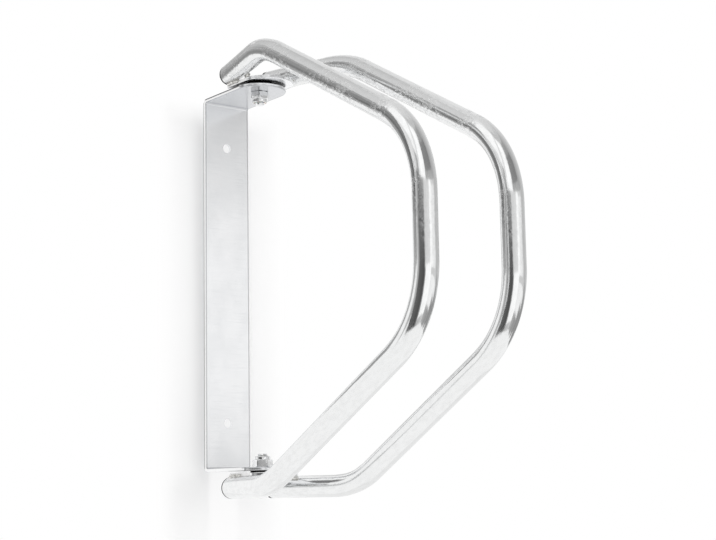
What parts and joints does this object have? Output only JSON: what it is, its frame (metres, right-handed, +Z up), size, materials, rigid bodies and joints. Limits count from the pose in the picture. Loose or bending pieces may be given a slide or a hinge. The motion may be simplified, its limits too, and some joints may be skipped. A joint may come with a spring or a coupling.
{
  "type": "wall-mounted bike rack",
  "caption": "Wall-mounted bike rack: a bent strip bracket carries a pair of welded tube hoops that hold a wheel between them and swivel sideways about a vertical axis.",
  "frame": {"origin": "middle of the bracket's back face, on the wall", "axes": "+Z up, +Y into the wall, so the rack stands out towards -Y, +X to the right for someone facing the wall"},
  "size_m": [0.0916, 0.291, 0.3274],
  "materials": {
    "zinc_strip": "bright zinc plate on rolled strip",
    "zinc_tube": "bright zinc plate on drawn tube",
    "zinc_fastener": "bright zinc plate",
    "weld": "zinc plated weld metal, slightly yellow",
    "black_plastic": "moulded",
    "nylon": "natural nylon"
  },
  "bodies": {
    "bracket": {"wall_bracket": "zinc_strip", "upper_pivot_bolt": "zinc_fastener", "upper_lock_nut": "zinc_fastener", "upper_nut_insert": "nylon", "upper_slide_washer": "black_plastic", "lower_pivot_bolt": "zinc_fastener", "lower_lock_nut": "zinc_fastener", "lower_nut_insert": "nylon", "lower_slide_washer": "black_plastic"},
    "swing_frame": {"upper_swivel_plate": "zinc_strip", "lower_swivel_plate": "zinc_strip", "left_hoop": "zinc_tube", "left_upper_plug": "black_plastic", "left_upper_outer_weld": "weld", "left_upper_inner_weld": "weld", "left_lower_plug": "black_plastic", "left_lower_outer_weld": "weld", "left_lower_inner_weld": "weld", "right_hoop": "zinc_tube", "right_upper_plug": "black_plastic", "right_upper_outer_weld": "weld", "right_upper_inner_weld": "weld", "right_lower_plug": "black_plastic", "right_lower_outer_weld": "weld", "right_lower_inner_weld": "weld"}
  },
  "joints": [
    {"name": "hoop_swivel", "type": "hinge", "parent": "bracket", "child": "swing_frame", "pos_m": [0, -0.049, 0], "axis": [0, 0, 1], "range_deg": [-90, 90]}
  ]
}
